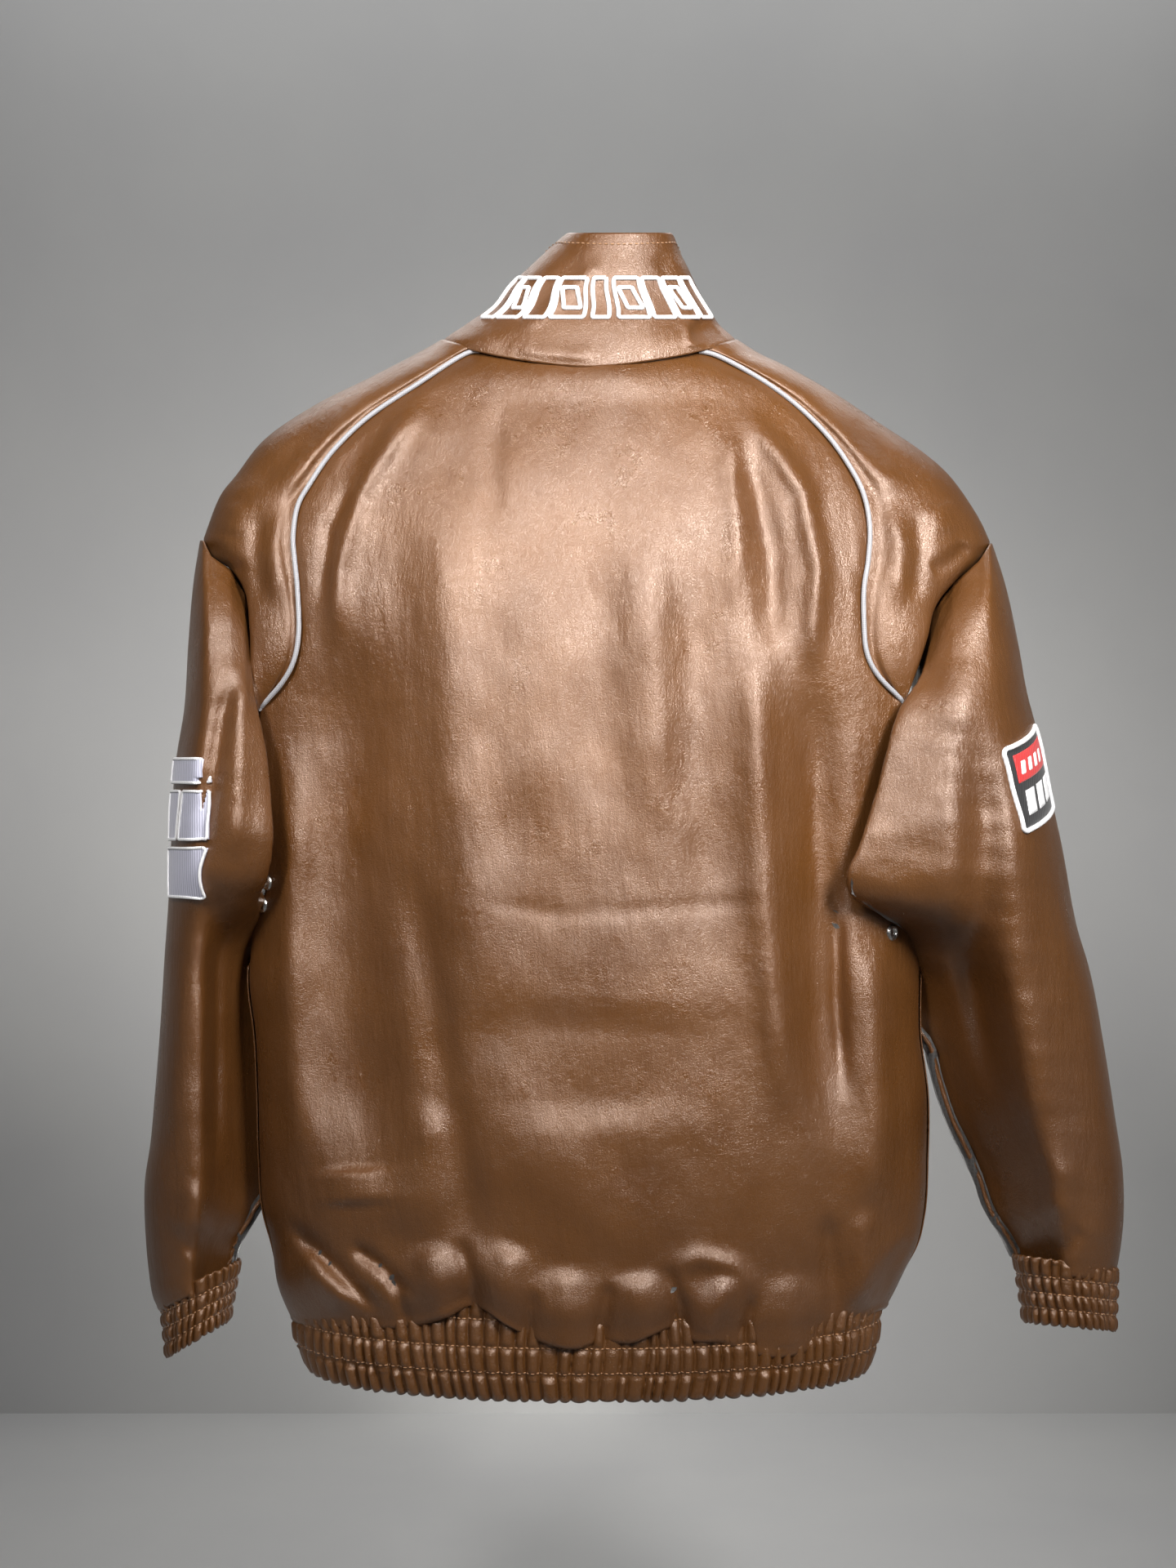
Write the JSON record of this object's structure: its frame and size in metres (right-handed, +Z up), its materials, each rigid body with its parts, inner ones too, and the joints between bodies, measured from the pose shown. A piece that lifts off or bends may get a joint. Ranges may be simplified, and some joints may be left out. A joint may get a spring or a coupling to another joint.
{
  "type": "riding jacket",
  "caption": "Zip-front leather riding jacket with a standing collar, piped shoulder panels, gathered hem and cuffs.",
  "frame": {"origin": "where a coat hanger's stem stands in the neck, level with the back neck seam", "axes": "+Z up, the wearer faces -Y, the wearer's left is +X"},
  "size_m": [0.6722, 0.2072, 0.78],
  "materials": {
    "leather": "semi-gloss",
    "collar_facing": "semi-gloss",
    "lining": "satin",
    "piping": "satin",
    "elastic": "matt",
    "tape": "matt",
    "teeth": "gloss",
    "metal": "nickel plated",
    "embroidery": "satin thread",
    "patch": "satin thread",
    "label": "satin"
  },
  "bodies": {
    "torso": {"back_panel": "leather", "front_panel_left": "leather", "front_panel_right": "leather", "shoulder_panel_left": "leather", "shoulder_panel_right": "leather", "piping_left": "piping", "piping_right": "piping", "underarm_eyelets_left": "metal", "underarm_eyelets_right": "metal", "back_lining": "lining", "front_lining_left": "lining", "front_lining_right": "lining", "pocket_bag_left": "lining", "pocket_bag_right": "lining", "collar": "leather", "collar_lining": "collar_facing", "collar_embroidery": "embroidery", "hanger_loop": "tape", "neck_label": "label", "hem_band": "leather", "hem_elastic": "elastic", "front_zip_tape_left": "tape", "front_zip_tape_right": "tape", "front_zip_teeth_left": "teeth", "front_zip_teeth_right": "teeth", "front_zip_stops": "metal", "front_zip_box": "teeth", "storm_flap": "leather", "pocket_welt_left": "leather", "pocket_welt_right": "leather", "pocket_zip_tape_left": "tape", "pocket_zip_tape_right": "tape", "pocket_zip_teeth_left": "teeth", "pocket_zip_teeth_right": "teeth"},
    "left_sleeve": {"top_sleeve_left": "leather", "under_sleeve_left": "leather", "sleeve_lining_left": "lining", "cuff_left": "leather", "cuff_elastic_left": "elastic", "sleeve_patch_left": "patch"},
    "right_sleeve": {"top_sleeve_right": "leather", "under_sleeve_right": "leather", "sleeve_lining_right": "lining", "cuff_right": "leather", "cuff_elastic_right": "elastic", "sleeve_patch_right": "patch"},
    "front_slider": {"front_slider": "metal"},
    "front_pull": {"front_pull": "metal"},
    "left_pocket_slider": {"pocket_slider_left": "metal"},
    "left_pocket_pull": {"pocket_pull_left": "metal"},
    "right_pocket_slider": {"pocket_slider_right": "metal"},
    "right_pocket_pull": {"pocket_pull_right": "metal"}
  },
  "joints": [
    {"name": "left_sleeve_lift", "type": "hinge", "parent": "torso", "child": "left_sleeve", "pos_m": [0.238, 0, -0.112], "axis": [0, -1, 0], "range_deg": [0, 55]},
    {"name": "right_sleeve_lift", "type": "hinge", "parent": "torso", "child": "right_sleeve", "pos_m": [-0.238, 0, -0.112], "axis": [0, 1, 0], "range_deg": [0, 55]},
    {"name": "front_zip_slide", "type": "slide", "parent": "torso", "child": "front_slider", "axis": [0, 0, -1], "range_m": [0, 0.49]},
    {"name": "front_pull_swing", "type": "hinge", "parent": "front_slider", "child": "front_pull", "pos_m": [0, -0.09215, -0.144], "axis": [-1, 0, 0], "range_deg": [0, 160]},
    {"name": "left_pocket_zip_slide", "type": "slide", "parent": "torso", "child": "left_pocket_slider", "axis": [0.2087, 0.0606, -0.9761], "range_m": [0, 0.104]},
    {"name": "left_pocket_pull_swing", "type": "hinge", "parent": "left_pocket_slider", "child": "left_pocket_pull", "pos_m": [0.11229, -0.07699, -0.41101], "axis": [-0.9373, -0.2723, -0.2173], "range_deg": [0, 150]},
    {"name": "right_pocket_zip_slide", "type": "slide", "parent": "torso", "child": "right_pocket_slider", "axis": [-0.2087, 0.0606, -0.9761], "range_m": [0, 0.104]},
    {"name": "right_pocket_pull_swing", "type": "hinge", "parent": "right_pocket_slider", "child": "right_pocket_pull", "pos_m": [-0.11229, -0.07699, -0.41101], "axis": [-0.9373, 0.2723, 0.2173], "range_deg": [0, 150]}
  ]
}
